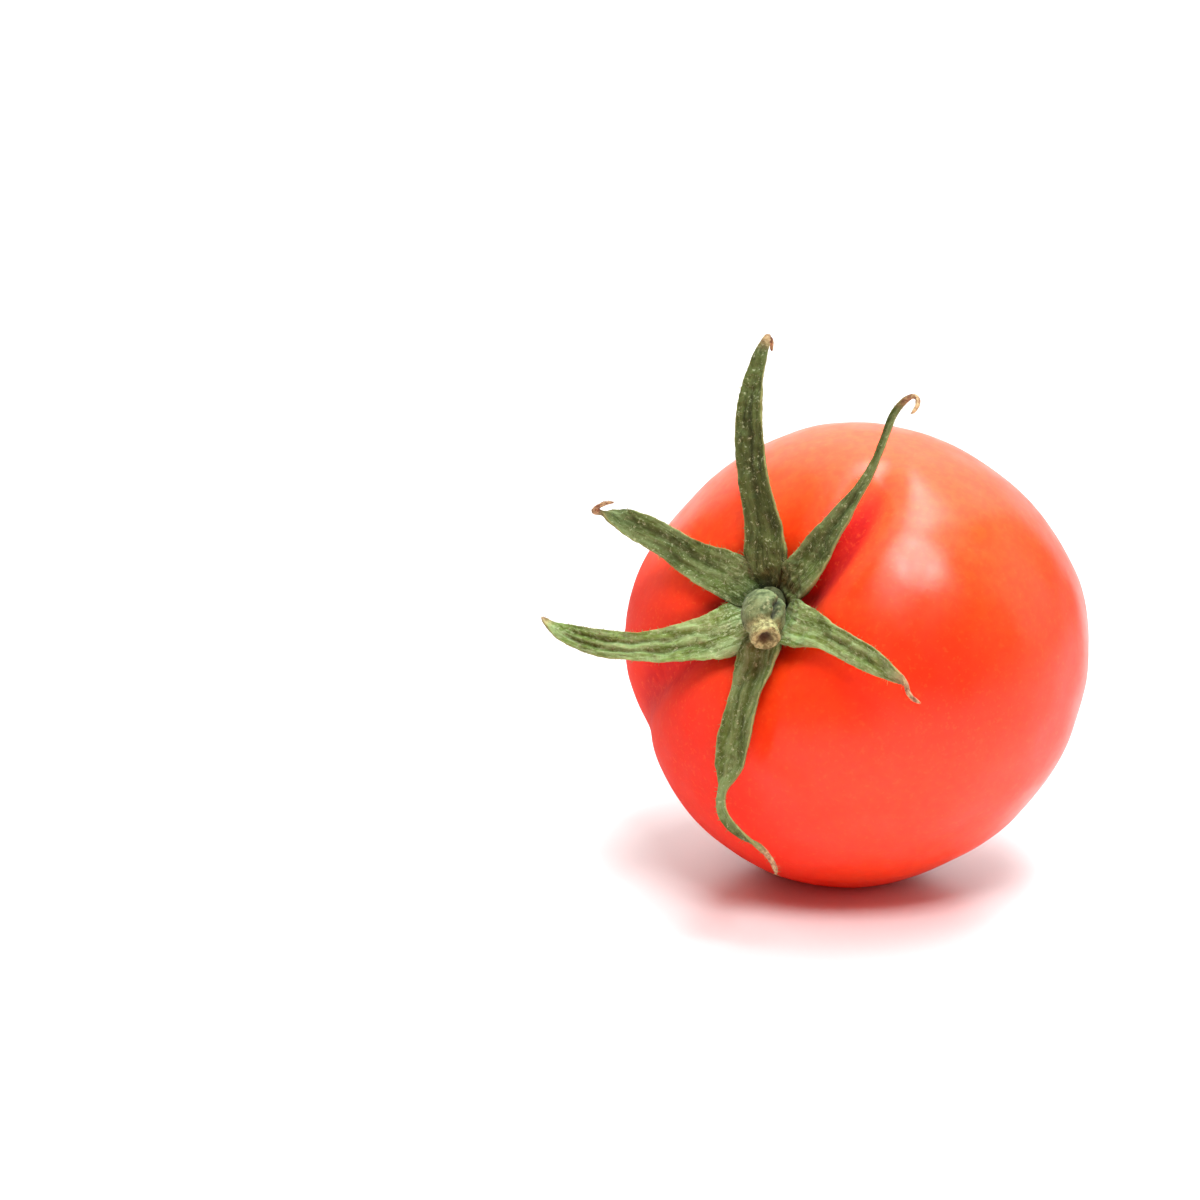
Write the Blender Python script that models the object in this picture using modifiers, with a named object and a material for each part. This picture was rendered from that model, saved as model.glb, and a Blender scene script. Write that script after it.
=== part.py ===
"""A round tomato as picked: the fruit, its calyx of six sepals and the stub of its stalk.

Units are metres, with +Z up. The fruit lies on its side on a small flat spot, and the
centre of that spot is the origin. Every piece is shaped in the fruit's own frame, where
+Z runs out of the stem end; polar angles are measured from +Z and azimuths from +X.
"""
import math

import bmesh
import bpy
import numpy as np
from mathutils import Euler, Vector

MM = 0.001

# ---------------------------------------------------------------- driving dimensions

# Fruit
FRUIT_RADIUS = 34.8 * MM
STEM_HALF_HEIGHT = 30.5 * MM      # equator to stem end, before the hollow sinks in
BLOSSOM_HALF_HEIGHT = 28.5 * MM   # equator to blossom end
SHOULDER_POWER = 2.2              # 2 is an ellipsoid; more gives squarer shoulders
HOLLOW_DEPTH = 4.5 * MM           # the sunken stem end
HOLLOW_RADIUS = 9.5 * MM
DIMPLE_DEPTH = 0.9 * MM           # the blossom end
DIMPLE_RADIUS = 4.5 * MM

# Broad lobes round the fruit: how many, height, azimuth of one crest in degrees
LOBES = (
    (2, 0.20 * MM, 0),
    (3, 0.25 * MM, 35),
    (4, 0.40 * MM, 5),
    (5, 0.25 * MM, -30),
)

# Furrows running down from the hollow: azimuth at the onset and at the end, depth, half
# width, polar angle of the end
FURROWS = (
    (30, 78, 3.0 * MM, 3.6 * MM, 63),
    (97, 97, 0.7 * MM, 5.0 * MM, 60),
    (165, 165, 0.8 * MM, 5.0 * MM, 60),
    (217, 217, 3.0 * MM, 4.5 * MM, 98),
    (280, 280, 1.2 * MM, 5.0 * MM, 55),
    (330, 330, 0.8 * MM, 5.0 * MM, 60),
)
FURROW_ONSET = 14                 # polar angle at which a furrow reaches its full depth
FURROW_BEND = 0.75                # under 1 turns a slanting furrow most near its onset
FURROW_FULL_SHARE = 0.35          # share of its reach that a furrow holds its full depth

# How it lies
LEAN = 60                         # stem axis away from straight up, degrees
TURN = -37                        # about the vertical, degrees
REST_DEPTH = 1.4 * MM             # skin pressed flat where it rests

# Receptacle: the button that the sepals and the stalk grow from
RECEPTACLE_RADIUS = 2.7 * MM
RECEPTACLE_RISE = 0.9 * MM        # its top above the roots of the sepals
RECEPTACLE_FLAT_SHARE = 0.75      # share of its radius over which its top is flat
RECEPTACLE_DROP_SHARE = 0.3       # share of its rise that the top falls by at its rim

# Sepals
SEPAL_THICKNESS = 0.9 * MM
TIP_THICKNESS = 0.5 * MM
TIP_WIDTH = 1.0 * MM              # where a sepal is this narrow it is down to its tip thickness
BLADE_WIDTH = 3.5 * MM            # where it is this wide it has its full thickness
TIP_CROWDING = 1.5                # over 1 sets the rows of the mesh closer towards the tip
SEPAL_CHANNEL = 0.12              # depth of the channel along a sepal, share of its width
EDGE_LEAN = 0.25                  # share of the thickness by which a channelled edge leans out
SKIN_CLEARANCE = 1.5 * MM         # a sepal's edges, halfway through them, to the skin

# Clearances between pieces that touch
SEAT_GAP = 0.3 * MM
ROOT_GAP = 0.5 * MM
NEIGHBOUR_GAP = 0.3 * MM

# Mesh fineness
PROFILE_POINTS = 181
FRUIT_SEGMENTS = 64
FRUIT_RINGS = 40
RECEPTACLE_STEPS = 28
RECEPTACLE_SEAT_POINTS = 4
SEPAL_LENGTH_SEGMENTS = 30
SEPAL_WIDTH_SEGMENTS = 4
SHARP_ANGLE = 40                  # degrees, so that the rim of the flat spot stays crisp
STEPS_PER_ROW = 8                 # steps along a sepal's course from one row to the next

# Each sepal: name, azimuth of its root, and stations along it. A station is the distance
# from the root (mm), the rise above square to the stem axis and the veer off the root's
# azimuth (degrees), and the full width (mm). Between stations all four change evenly.
SEPALS = (
    ("sepal_top", 105, (
        (0, 18, -4, 8.0),
        (5, 18, -1, 7.0),
        (12, 21, 9, 5.3),
        (20, 12, 3, 4.8),
        (28, 0, -4, 3.9),
        (37, -16, -12, 1.3),
        (38, -125, -5, 0.9),
        (40, -180, -5, 0.6),
    )),
    ("sepal_upper_right", 45, (
        (0, 12, -6, 6.4),
        (6, 16, 16, 6.2),
        (12.5, 7, 18, 4.4),
        (19, 3, 21, 2.0),
        (25, 7, 35, 1.2),
        (30, 6, 39, 1.2),
        (35.5, 26, -23, 1.0),
        (40.5, 14, -173, 0.5),
    )),
    ("sepal_lower_right", -22, (
        (0, 17, -3, 8.0),
        (6, 10, 20, 6.4),
        (10, 2, 9, 4.2),
        (18.5, -7, 7, 3.7),
        (24.5, -13, 5, 2.2),
        (26, -19, -49, 1.0),
        (29, -40, 24, 0.6),
    )),
    ("sepal_bottom", 289, (
        (0, 17, 3, 7.5),
        (6, 10, -14, 7.0),
        (12, -3, -21, 5.2),
        (17.5, -11, -17, 5.7),
        (22, -8, -16, 5.0),
        (25.5, 10, -14, 1.4),
        (30, 15, 32, 1.6),
        (36, -55, 54, 1.2),
        (42.5, 9, 13, 0.6),
    )),
    ("sepal_left", 239, (
        (0, 12, -3, 8.5),
        (6, 18, -30, 7.6),
        (12, 14, -33, 5.6),
        (18, 14, -47, 4.2),
        (24, 13, -54, 4.1),
        (30, 10, -69, 2.8),
        (34, 11, -89, 0.8),
    )),
    ("sepal_upper_left", 150, (
        (0, 19, 12, 7.5),
        (7, 7, 23, 6.5),
        (14, 7, 10, 4.9),
        (20.5, 16, 19, 4.5),
        (26, 21, 25, 3.2),
        (27.5, 25, 39, 2.0),
        (29, 170, 80, 0.9),
        (32, 200, 40, 0.6),
    )),
)

# Stalk: points from the middle of its base (mm, in the fruit's frame) and the radius there,
# for a receptacle of the radius it was drawn on. It grows with the receptacle.
STALK_DRAWN_ON = 2.7 * MM
STALK_PATH = (
    (0.0, 0.0, 0.0, 1.9),
    (0.0, 0.0, 1.1, 2.2),
    (2.0, -1.2, 2.8, 3.0),
    (3.5, -3.0, 3.6, 2.7),
    (4.9, -4.9, 3.9, 2.3),
)

# Colours and roughness
SKIN_COLOUR = (0.83, 0.06, 0.012)
SEPAL_COLOUR = (0.13, 0.20, 0.05)
RECEPTACLE_COLOUR = (0.16, 0.22, 0.07)
STALK_COLOUR = (0.22, 0.24, 0.11)
SKIN_ROUGHNESS = 0.28
GREEN_ROUGHNESS = 0.8


# ---------------------------------------------------------------- the fruit's shape

def fade(share):
    """Smooth step: 0 up to 0, 1 from 1."""
    share = min(max(share, 0.0), 1.0)
    return share * share * (3.0 - 2.0 * share)


def skin_profile(polar):
    """Distance from the stem axis and height of the plain skin at a polar angle."""
    at_stem_end = math.cos(polar) > 0.0
    half_height = STEM_HALF_HEIGHT if at_stem_end else BLOSSOM_HALF_HEIGHT
    across = math.sin(polar) / FRUIT_RADIUS
    along = abs(math.cos(polar)) / half_height
    reach = (across ** SHOULDER_POWER + along ** SHOULDER_POWER) ** (-1.0 / SHOULDER_POWER)
    radius = reach * math.sin(polar)
    height = reach * math.cos(polar)
    if at_stem_end:
        height -= HOLLOW_DEPTH * math.exp(-(radius / HOLLOW_RADIUS) ** 2)
    else:
        height += DIMPLE_DEPTH * math.exp(-(radius / DIMPLE_RADIUS) ** 2)
    return radius, height


def floor_height(radius):
    """Height of the stem hollow's floor at a distance from the stem axis."""
    share = radius / FRUIT_RADIUS
    shoulder = STEM_HALF_HEIGHT * (1.0 - share ** SHOULDER_POWER) ** (1.0 / SHOULDER_POWER)
    return shoulder - HOLLOW_DEPTH * math.exp(-(radius / HOLLOW_RADIUS) ** 2)


def furrow_depth(polar, azimuth, radius):
    """How deep the furrows cut in at a place on the skin."""
    depth = 0.0
    degrees = math.degrees(polar)
    for start, end, full_depth, half_width, reach in FURROWS:
        course = min(max((degrees - FURROW_ONSET) / (reach - FURROW_ONSET), 0.0), 1.0)
        aside = azimuth - math.radians(start + (end - start) * course ** FURROW_BEND)
        if math.cos(aside) <= 0.0:
            continue
        across = math.exp(-(radius * math.sin(aside) / half_width) ** 2)
        onset = fade(degrees / FURROW_ONSET)
        full_until = FURROW_FULL_SHARE * reach
        ending = 1.0 - fade((degrees - full_until) / (reach - full_until))
        depth += full_depth * across * onset * ending
    return depth


def lobe_height(polar, azimuth):
    """How far the broad lobes stand out at a place on the skin."""
    height = 0.0
    for count, crest_height, crest in LOBES:
        height += crest_height * math.cos(count * (azimuth - math.radians(crest)))
    return height * math.sin(polar) ** 2


def skin_point(polar, azimuth):
    """A point on the skin, with its lobes and furrows."""
    radius, height = skin_profile(polar)
    relief = lobe_height(polar, azimuth) - furrow_depth(polar, azimuth, radius)
    scale = 1.0 + relief / math.hypot(radius, height)
    return Vector((radius * math.cos(azimuth), radius * math.sin(azimuth), height)) * scale


# Directions and distances of the plain skin, to keep the sepals clear of it
PROFILE = [skin_profile(polar) for polar in np.linspace(0.0, math.pi, PROFILE_POINTS)]
PROFILE_ANGLES = [math.atan2(radius, height) for radius, height in PROFILE]
PROFILE_REACHES = [math.hypot(radius, height) for radius, height in PROFILE]


def height_over_skin(point):
    """Distance of a point outside the plain skin, measured from the fruit's centre."""
    direction = math.atan2(math.hypot(point.x, point.y), point.z)
    return point.length - float(np.interp(direction, PROFILE_ANGLES, PROFILE_REACHES))


# ---------------------------------------------------------------- helpers

def material(name, colour, roughness):
    """A plain Principled material."""
    result = bpy.data.materials.new(name)
    result.use_nodes = True
    shader = result.node_tree.nodes["Principled BSDF"]
    shader.inputs["Base Color"].default_value = (*colour, 1.0)
    shader.inputs["Roughness"].default_value = roughness
    shader.inputs["Metallic"].default_value = 0.0
    result.diffuse_color = (*colour, 1.0)
    return result


def add_object(name, data, parent, collection, paint):
    """A named object in the collection, riding on the fruit's frame."""
    result = bpy.data.objects.new(name, data)
    result.parent = parent
    result.data.materials.append(paint)
    collection.objects.link(result)
    return result


def mesh_from(name, shape):
    """Turn a finished bmesh into smooth-shaded mesh data."""
    bmesh.ops.recalc_face_normals(shape, faces=shape.faces[:])
    data = bpy.data.meshes.new(name)
    shape.to_mesh(data)
    shape.free()
    data.shade_smooth()
    return data


# ---------------------------------------------------------------- fruit

def cut_rest_spot(shape, down):
    """Slice the flat spot off the lowest side and return the middle of the cut."""
    lowest = max(vertex.co.dot(down) for vertex in shape.verts)
    everything = shape.verts[:] + shape.edges[:] + shape.faces[:]
    cut = bmesh.ops.bisect_plane(
        shape,
        geom=everything,
        dist=1e-7,
        plane_co=down * (lowest - REST_DEPTH),
        plane_no=down,
        clear_outer=True,
    )
    rim = [piece for piece in cut["geom_cut"] if isinstance(piece, bmesh.types.BMEdge)]
    spot = bmesh.ops.contextual_create(shape, geom=rim)["faces"][0]
    return spot.calc_center_bounds()


def make_fruit(frame, collection):
    """The fruit, one closed body. Its rest spot becomes the origin by moving the frame."""
    shape = bmesh.new()
    bmesh.ops.create_uvsphere(shape, u_segments=FRUIT_SEGMENTS, v_segments=FRUIT_RINGS, radius=1.0)
    for vertex in shape.verts:
        polar = math.acos(min(max(vertex.co.z, -1.0), 1.0))
        azimuth = math.atan2(vertex.co.y, vertex.co.x)
        vertex.co = skin_point(polar, azimuth)
    turned = frame.rotation_euler.to_matrix()
    down = turned.inverted() @ Vector((0.0, 0.0, -1.0))
    frame.location = -(turned @ cut_rest_spot(shape, down))
    fruit = add_object("fruit", mesh_from("fruit", shape), frame, collection,
                       material("skin_red", SKIN_COLOUR, SKIN_ROUGHNESS))
    fruit.data.set_sharp_from_angle(angle=math.radians(SHARP_ANGLE))
    return fruit


# ---------------------------------------------------------------- receptacle

def root_radius():
    """Distance of the sepals' roots from the stem axis."""
    return RECEPTACLE_RADIUS + ROOT_GAP


def root_height():
    """Height of the sepals' roots in the fruit's frame."""
    return floor_height(root_radius()) + SKIN_CLEARANCE


def receptacle_outline():
    """Half outline of the receptacle, from its top down its side and in under it."""
    top = root_height() + RECEPTACLE_RISE
    rim = top - RECEPTACLE_DROP_SHARE * RECEPTACLE_RISE
    outline = [(0.0, top), (RECEPTACLE_FLAT_SHARE * RECEPTACLE_RADIUS, top), (RECEPTACLE_RADIUS, rim)]
    for radius in np.linspace(RECEPTACLE_RADIUS, 0.0, RECEPTACLE_SEAT_POINTS):
        outline.append((radius, floor_height(radius) + SEAT_GAP))
    return outline


def make_receptacle(frame, collection):
    """The button in the hollow, a turned shape."""
    outline = receptacle_outline()
    data = bpy.data.meshes.new("receptacle")
    points = [(radius, 0.0, height) for radius, height in outline]
    data.from_pydata(points, [(i, i + 1) for i in range(len(points) - 1)], [])
    receptacle = add_object("receptacle", data, frame, collection,
                            material("receptacle_green", RECEPTACLE_COLOUR, GREEN_ROUGHNESS))
    screw = receptacle.modifiers.new("turn", "SCREW")
    screw.axis = "Z"
    screw.steps = RECEPTACLE_STEPS
    screw.render_steps = RECEPTACLE_STEPS
    screw.use_merge_vertices = True
    screw.merge_threshold = 0.00001
    return receptacle


# ---------------------------------------------------------------- sepals

def station_values(stations, distance):
    """Rise, veer and width at a distance along a sepal, in radians and metres."""
    marks = [station[0] * MM for station in stations]
    rise, veer, width = (np.interp(distance, marks, [station[i] for station in stations])
                         for i in (1, 2, 3))
    return math.radians(rise), math.radians(veer), width * MM


def heading_vector(rise, azimuth):
    """Unit vector at a rise above square to the stem axis and an azimuth about it."""
    level = math.cos(rise)
    return Vector((level * math.cos(azimuth), level * math.sin(azimuth), math.sin(rise)))


def sepal_spine(azimuth, stations, rows):
    """Points along the middle of a sepal, level with its edges, with heading and width."""
    length = stations[-1][0] * MM
    point = root_radius() * heading_vector(0.0, azimuth) + Vector((0.0, 0.0, root_height()))
    spine = []
    reached = 0.0
    for row in range(rows + 1):
        target = length * (1.0 - (1.0 - row / rows) ** TIP_CROWDING)
        step = (target - reached) / STEPS_PER_ROW
        for i in range(STEPS_PER_ROW):
            rise, veer, _ = station_values(stations, reached + (i + 0.5) * step)
            point = point + step * heading_vector(rise, azimuth + veer)
        reached = target
        _, veer, width = station_values(stations, reached)
        spine.append((lifted(point), azimuth + veer, width))
    return spine


def lifted(point):
    """The point, moved out from the fruit's centre until it clears the skin."""
    short = SKIN_CLEARANCE - height_over_skin(point)
    return point if short <= 0.0 else point + point.normalized() * short


def neighbour_limit(middle, sideways, edge_azimuth, turn):
    """How far a sepal may reach sideways before the line halfway to its neighbour.

    turn is 1 for the neighbour at a greater azimuth and -1 for the one at a lesser.
    """
    beyond = Vector((-math.sin(edge_azimuth), math.cos(edge_azimuth), 0.0)) * turn
    approach = sideways.dot(beyond)
    if approach <= 0.0:
        return math.inf
    room = -middle.dot(beyond) - 0.5 * NEIGHBOUR_GAP - EDGE_LEAN * SEPAL_THICKNESS
    return room / approach


def make_sepal(name, azimuth, stations, edges, frame, collection, paint):
    """One sepal: a channelled blade drawn out to a dry tip."""
    shape = bmesh.new()
    bmesh.ops.create_grid(shape, x_segments=SEPAL_LENGTH_SEGMENTS,
                          y_segments=SEPAL_WIDTH_SEGMENTS, size=1.0)
    spine = sepal_spine(math.radians(azimuth), stations, SEPAL_LENGTH_SEGMENTS)
    fullness = []
    for vertex in shape.verts:
        row = round((vertex.co.x + 1.0) / 2.0 * SEPAL_LENGTH_SEGMENTS)
        middle, heading, width = spine[row]
        across = Vector((-math.sin(heading), math.cos(heading), 0.0))
        side = vertex.co.y
        turn = 1 if side > 0.0 else -1
        edge = math.radians(edges[1] if side > 0.0 else edges[0])
        half = min(0.5 * width, neighbour_limit(middle, across * turn, edge, turn))
        sag = SEPAL_CHANNEL * 2.0 * half * (1.0 - side * side)
        vertex.co = middle + across * half * side - Vector((0.0, 0.0, sag))
        fullness.append(fade((width - TIP_WIDTH) / (BLADE_WIDTH - TIP_WIDTH)))
    sepal = add_object(name, mesh_from(name, shape), frame, collection, paint)
    group = sepal.vertex_groups.new(name="fullness")
    for i, share in enumerate(fullness):
        group.add([i], share, "REPLACE")
    solidify = sepal.modifiers.new("thickness", "SOLIDIFY")
    solidify.thickness = SEPAL_THICKNESS
    solidify.offset = 0.0
    solidify.vertex_group = group.name
    solidify.thickness_vertex_group = TIP_THICKNESS / SEPAL_THICKNESS


def make_calyx(frame, collection):
    """The six sepals. Each keeps to its own side of the line halfway to its neighbour."""
    order = sorted(SEPALS, key=lambda sepal: sepal[1] % 360)
    for i, (name, azimuth, stations) in enumerate(order):
        before = order[i - 1][1] % 360 - (360 if i == 0 else 0)
        after = order[(i + 1) % len(order)][1] % 360 + (360 if i == len(order) - 1 else 0)
        own = azimuth % 360
        edges = (0.5 * (before + own), 0.5 * (own + after))
        paint = material(name + "_green", SEPAL_COLOUR, GREEN_ROUGHNESS)
        make_sepal(name, own, stations, edges, frame, collection, paint)


# ---------------------------------------------------------------- stalk

def make_stalk(frame, collection):
    """The bent stub of the stalk, swollen where it would have let go."""
    curve = bpy.data.curves.new("stalk", "CURVE")
    curve.dimensions = "3D"
    curve.bevel_depth = 1.0 * MM
    curve.bevel_resolution = 4
    curve.resolution_u = 5
    curve.use_fill_caps = True
    spline = curve.splines.new("BEZIER")
    spline.bezier_points.add(len(STALK_PATH) - 1)
    base = Vector((0.0, 0.0, root_height() + RECEPTACLE_RISE + SEAT_GAP))
    growth = RECEPTACLE_RADIUS / STALK_DRAWN_ON
    for point, (x, y, z, radius) in zip(spline.bezier_points, STALK_PATH):
        point.co = base + Vector((x, y, z)) * MM * growth
        point.radius = radius * growth
        point.handle_left_type = "AUTO"
        point.handle_right_type = "AUTO"
    return add_object("stalk", curve, frame, collection,
                      material("stalk_green", STALK_COLOUR, GREEN_ROUGHNESS))


# ---------------------------------------------------------------- assembly

def clear_scene():
    """Remove whatever the scene already holds."""
    for existing in list(bpy.data.objects):
        bpy.data.objects.remove(existing, do_unlink=True)


def main():
    clear_scene()
    collection = bpy.data.collections.new("tomato")
    bpy.context.scene.collection.children.link(collection)
    frame = bpy.data.objects.new("fruit_frame", None)
    frame.rotation_euler = Euler((math.radians(LEAN), 0.0, math.radians(TURN)))
    collection.objects.link(frame)
    make_fruit(frame, collection)
    make_receptacle(frame, collection)
    make_calyx(frame, collection)
    make_stalk(frame, collection)


main()
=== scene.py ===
"""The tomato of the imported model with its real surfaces, on a pale floor under soft studio lights.

Each piece takes the course and the sizes of its CAD node and stands in its place, with the
relief and the colours that the node leaves out. Lengths are metres unless a name ends in
_MM. Shapes are worked out in the fruit's own frame, where +Z runs out of the stem end.
"""
import math
import random

import bpy
import numpy as np
from mathutils import Euler, Matrix, Vector, noise


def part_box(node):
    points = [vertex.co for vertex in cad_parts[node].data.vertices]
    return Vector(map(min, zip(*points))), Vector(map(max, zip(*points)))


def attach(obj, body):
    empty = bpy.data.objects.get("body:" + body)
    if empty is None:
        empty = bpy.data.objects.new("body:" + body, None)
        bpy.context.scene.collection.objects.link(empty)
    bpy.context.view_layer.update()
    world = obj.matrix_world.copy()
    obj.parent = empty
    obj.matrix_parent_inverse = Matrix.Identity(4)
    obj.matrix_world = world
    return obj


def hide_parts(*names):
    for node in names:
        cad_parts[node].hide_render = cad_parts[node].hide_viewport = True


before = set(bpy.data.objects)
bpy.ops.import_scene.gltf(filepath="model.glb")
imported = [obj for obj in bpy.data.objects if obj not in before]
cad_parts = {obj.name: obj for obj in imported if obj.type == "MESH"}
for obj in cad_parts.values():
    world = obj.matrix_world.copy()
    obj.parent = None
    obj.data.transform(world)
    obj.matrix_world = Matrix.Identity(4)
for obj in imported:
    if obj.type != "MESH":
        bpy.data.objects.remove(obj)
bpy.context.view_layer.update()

MM = 0.001

# ---------------------------------------------------------------- sizes shared with the CAD model
FRUIT_RADIUS = 34.8 * MM
STEM_HALF_HEIGHT = 30.5 * MM
BLOSSOM_HALF_HEIGHT = 28.5 * MM
SHOULDER_POWER = 2.2
HOLLOW_DEPTH = 4.5 * MM
HOLLOW_RADIUS = 9.5 * MM
DIMPLE_DEPTH = 0.9 * MM
DIMPLE_RADIUS = 4.5 * MM
LOBES = ((2, 0.20 * MM, 0), (3, 0.25 * MM, 35), (4, 0.40 * MM, 5), (5, 0.25 * MM, -30))
FURROWS = (
    (30, 78, 3.0 * MM, 3.6 * MM, 63),
    (97, 97, 0.7 * MM, 5.0 * MM, 60),
    (165, 165, 0.8 * MM, 5.0 * MM, 60),
    (217, 217, 3.0 * MM, 4.5 * MM, 98),
    (280, 280, 1.2 * MM, 5.0 * MM, 55),
    (330, 330, 0.8 * MM, 5.0 * MM, 60),
)
FURROW_ONSET = 14
FURROW_BEND = 0.75
FURROW_FULL_SHARE = 0.35
LEAN = 60
TURN = -37
REST_DEPTH = 1.4 * MM
ROOT_RADIUS = 3.2 * MM
ROOT_CLEARANCE = 1.5 * MM
RECEPTACLE_RADIUS = 2.7 * MM
RECEPTACLE_RISE = 0.9 * MM
STALK_GAP = 0.3 * MM

SEPALS = {
    "sepal_top": (105, (
        (0, 18, -4, 8.0), (5, 18, -1, 7.0), (12, 21, 9, 5.3), (20, 12, 3, 4.8),
        (28, 0, -4, 3.9), (37, -16, -12, 1.3), (38, -125, -5, 0.9), (40, -180, -5, 0.6))),
    "sepal_upper_right": (45, (
        (0, 12, -6, 6.4), (6, 16, 16, 6.2), (12.5, 7, 18, 4.4), (19, 3, 21, 2.0),
        (25, 7, 35, 1.2), (30, 6, 39, 1.2), (35.5, 26, -23, 1.0), (40.5, 14, -173, 0.5))),
    "sepal_lower_right": (338, (
        (0, 17, -3, 8.0), (6, 10, 20, 6.4), (10, 2, 9, 4.2), (18.5, -7, 7, 3.7),
        (24.5, -13, 5, 2.2), (26, -19, -49, 1.0), (29, -40, 24, 0.6))),
    "sepal_bottom": (289, (
        (0, 17, 3, 7.5), (6, 10, -14, 7.0), (12, -3, -21, 5.2), (17.5, -11, -17, 5.7),
        (22, -8, -16, 5.0), (25.5, 10, -14, 1.4), (30, 15, 32, 1.6), (36, -55, 54, 1.2),
        (42.5, 9, 13, 0.6))),
    "sepal_left": (239, (
        (0, 12, -3, 8.5), (6, 18, -30, 7.6), (12, 14, -33, 5.6), (18, 14, -47, 4.2),
        (24, 13, -54, 4.1), (30, 10, -69, 2.8), (34, 11, -89, 0.8))),
    "sepal_upper_left": (150, (
        (0, 19, 12, 7.5), (7, 7, 23, 6.5), (14, 7, 10, 4.9), (20.5, 16, 19, 4.5),
        (26, 21, 25, 3.2), (27.5, 25, 39, 2.0), (29, 170, 80, 0.9), (32, 200, 40, 0.6))),
}

# ---------------------------------------------------------------- sizes of the fine shapes
SKIN_SEGMENTS = 288
SKIN_RINGS = 180
REST_RIM = 0.35 * MM                 # how softly the skin turns into the flat spot
REST_NEAR = 6.0                      # above the spot by this many rims the skin is untouched
REST_DEEP = 40.0                     # below it by this many it is simply flat
WAVE_SIZE = 11 * MM
WAVE_HEIGHT = 0.24 * MM
RIPPLE_SIZE = 3.5 * MM
RIPPLE_HEIGHT = 0.012 * MM
SCAR_RADIUS = 1.3 * MM
SCAR_RISE = 0.18 * MM
SCAR_PIT_DEPTH = 0.25 * MM
SCAR_PIT_RADIUS = 0.5 * MM

# Where the skin is painted a deeper red, as polar angle and azimuth: painted shade on the shaded
# flank, and a redder patch on the low front
FLANK_PLACE = (80.0, 225.0)
RED_PATCH_PLACE = (54.0, 350.0)
RED_PATCH_SPREAD = 20.0                   # degrees
DEEP_FURROW = 2.0 * MM               # a furrow at least this deep takes the gloss off its sides
FULL_FURROW = 3.0 * MM               # the depth at which the furrow attribute is 1

# Shallow dents in the skin: polar angle, azimuth, radius and depth
DENTS = ((52.4, 279.6, 2.6 * MM, 0.50 * MM),)

BLADE_ROWS = 200
BLADE_COLUMNS = 80
BLADE_INSET = 2.4 * MM               # how far a blade runs on inwards past its root
BLADE_THICKNESS = 0.9 * MM
TAIL_THICKNESS = 0.65 * MM
ROOT_THICKNESS = 1.5 * MM
ROOT_THICK_REACH = 6.0 * MM
CHANNEL = 0.12
WIDTH_SMOOTHING = 0.7 * MM
COURSE_SMOOTHING = 0.4 * MM
COURSE_PARTS = 4                     # steps along a course from one row to the next
FUNNEL_DEPTH = 2.2 * MM              # how far the blades dip towards the stalk
FUNNEL_REACH = 2.6 * MM              # and from how far out on them
COLLAR_RISE = 0.65 * MM              # the fleshy ring round the dip
COLLAR_PLACE = 4.2 * MM
OVERLAP = 0.15 * MM                  # how far a blade reaches into its neighbour at the hub
LEAST_HALF_WIDTH = 0.12 * MM
HAIR_SHARE = 0.02                    # share of a blade's upper points that may carry a hair
HAIR_FOOT = 0.10 * MM                # how far a hair is sunk into the blade
HAIR_RADIUS = 0.045 * MM
HAIR_BEND_RADIUS = 0.030 * MM
HAIR_BEND = 0.55                     # share of its length at which a hair bends

# Each sepal's own character: where it dries (mm from the root), how far its tail twists
# (degrees), how many hairs it has, how light it is (0 to 1), and its grooves. A groove has its
# side (-1 to 1), its width as a share of the half width, where it starts and ends (mm from the
# root) and its depth (mm).
CHARACTER = {
    "sepal_top": (35.5, 60, 110, 0.0, (
        (0.05, 0.24, 9, 32, 0.26), (-0.55, 0.14, 14, 28, 0.10))),
    "sepal_upper_right": (33.0, 120, 110, 0.25, (
        (0.05, 0.24, 6, 24, 0.24), (0.6, 0.16, 2, 12, 0.12))),
    "sepal_lower_right": (23.5, 90, 110, 0.85, (
        (-0.05, 0.22, 8, 23, 0.28), (0.5, 0.14, 3, 14, 0.10))),
    "sepal_bottom": (37.0, 200, 120, 0.45, (
        (0.15, 0.22, 3, 20, 0.20), (-0.5, 0.14, 7, 22, 0.12))),
    "sepal_left": (32.0, 60, 120, 1.0, (
        (0.34, 0.13, 3, 32, 0.30), (-0.30, 0.13, 5, 31, 0.30))),
    "sepal_upper_left": (26.5, 120, 110, 0.25, (
        (-0.15, 0.2, 5, 25, 0.24), (0.5, 0.14, 8, 22, 0.14))),
}


# ---------------------------------------------------------------- helpers
def fade(share):
    """Smooth step: 0 up to 0, 1 from 1."""
    share = min(max(share, 0.0), 1.0)
    return share * share * (3.0 - 2.0 * share)


def rough(point, size, seed=0.0, octaves=3):
    """Even random relief between about -1 and 1 with bumps of the given size."""
    place = point / size + Vector((seed, 1.7 * seed, -0.6 * seed))
    return noise.fractal(place, 0.9, 2.0, octaves)


def skin_profile(polar):
    """Distance from the stem axis and height of the plain skin at a polar angle."""
    at_stem_end = math.cos(polar) > 0.0
    half_height = STEM_HALF_HEIGHT if at_stem_end else BLOSSOM_HALF_HEIGHT
    across = math.sin(polar) / FRUIT_RADIUS
    along = abs(math.cos(polar)) / half_height
    reach = (across ** SHOULDER_POWER + along ** SHOULDER_POWER) ** (-1.0 / SHOULDER_POWER)
    radius = reach * math.sin(polar)
    height = reach * math.cos(polar)
    if at_stem_end:
        height -= HOLLOW_DEPTH * math.exp(-(radius / HOLLOW_RADIUS) ** 2)
    else:
        height += DIMPLE_DEPTH * math.exp(-(radius / DIMPLE_RADIUS) ** 2)
    return radius, height


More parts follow.
